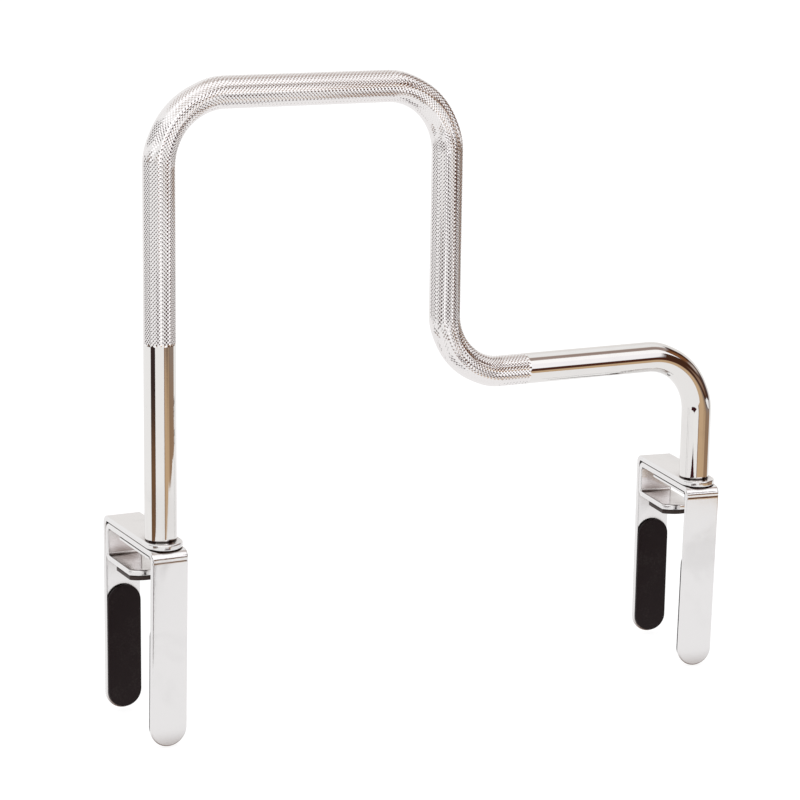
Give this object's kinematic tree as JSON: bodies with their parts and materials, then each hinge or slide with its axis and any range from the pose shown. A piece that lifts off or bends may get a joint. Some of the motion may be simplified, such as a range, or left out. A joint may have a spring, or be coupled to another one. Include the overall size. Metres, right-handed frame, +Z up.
{
  "type": "bathtub safety rail",
  "caption": "Two-level chrome grab rail that clamps over a bathtub wall with padded, sliding jaws under each post.",
  "frame": {"origin": "midway between the two posts, in the plane of their axes, at the height of the tub rim that the rim pads sit on", "axes": "+X along the rail from the tall left post to the short right post, +Y from the posts towards the rear jaws, +Z up"},
  "size_m": [0.5371, 0.111, 0.5261],
  "materials": {
    "tube_chrome": "mirror chrome, knurled from the left post's lower third to the near end of the low bar",
    "clamp_chrome": "bright chrome on flat bar, a little satin",
    "plug_chrome": "mirror chrome, turned",
    "bolt_zinc": "zinc plated",
    "washer_zinc": "zinc plated",
    "pad_rubber": "matt black rubber"
  },
  "bodies": {
    "rail": {"rail_tube": "tube_chrome", "left_foot_plug": "plug_chrome", "left_clamp_bolt": "bolt_zinc", "left_lock_washer": "washer_zinc", "left_flat_washer": "washer_zinc", "right_foot_plug": "plug_chrome", "right_clamp_bolt": "bolt_zinc", "right_lock_washer": "washer_zinc", "right_flat_washer": "washer_zinc"},
    "left_jaw": {"left_top_strap": "clamp_chrome", "left_rear_pad": "pad_rubber"},
    "left_hook": {"left_hook_strap": "clamp_chrome", "left_front_pad": "pad_rubber", "left_rim_pad": "pad_rubber", "left_slot_plate": "clamp_chrome"},
    "right_jaw": {"right_top_strap": "clamp_chrome", "right_rear_pad": "pad_rubber"},
    "right_hook": {"right_hook_strap": "clamp_chrome", "right_front_pad": "pad_rubber", "right_rim_pad": "pad_rubber", "right_slot_plate": "clamp_chrome"}
  },
  "joints": [
    {"name": "left_clamp_swivel", "type": "hinge", "parent": "rail", "child": "left_jaw", "pos_m": [-0.24725, 0, 0.0406], "axis": [0, 0, 1], "continuous": true},
    {"name": "left_jaw_slide", "type": "slide", "parent": "left_jaw", "child": "left_hook", "axis": [0, -1, 0], "range_m": [0, 0.045]},
    {"name": "right_clamp_swivel", "type": "hinge", "parent": "rail", "child": "right_jaw", "pos_m": [0.24725, 0, 0.0406], "axis": [0, 0, 1], "continuous": true},
    {"name": "right_jaw_slide", "type": "slide", "parent": "right_jaw", "child": "right_hook", "axis": [-0.1445, -0.9895, 0], "range_m": [0, 0.045]}
  ]
}
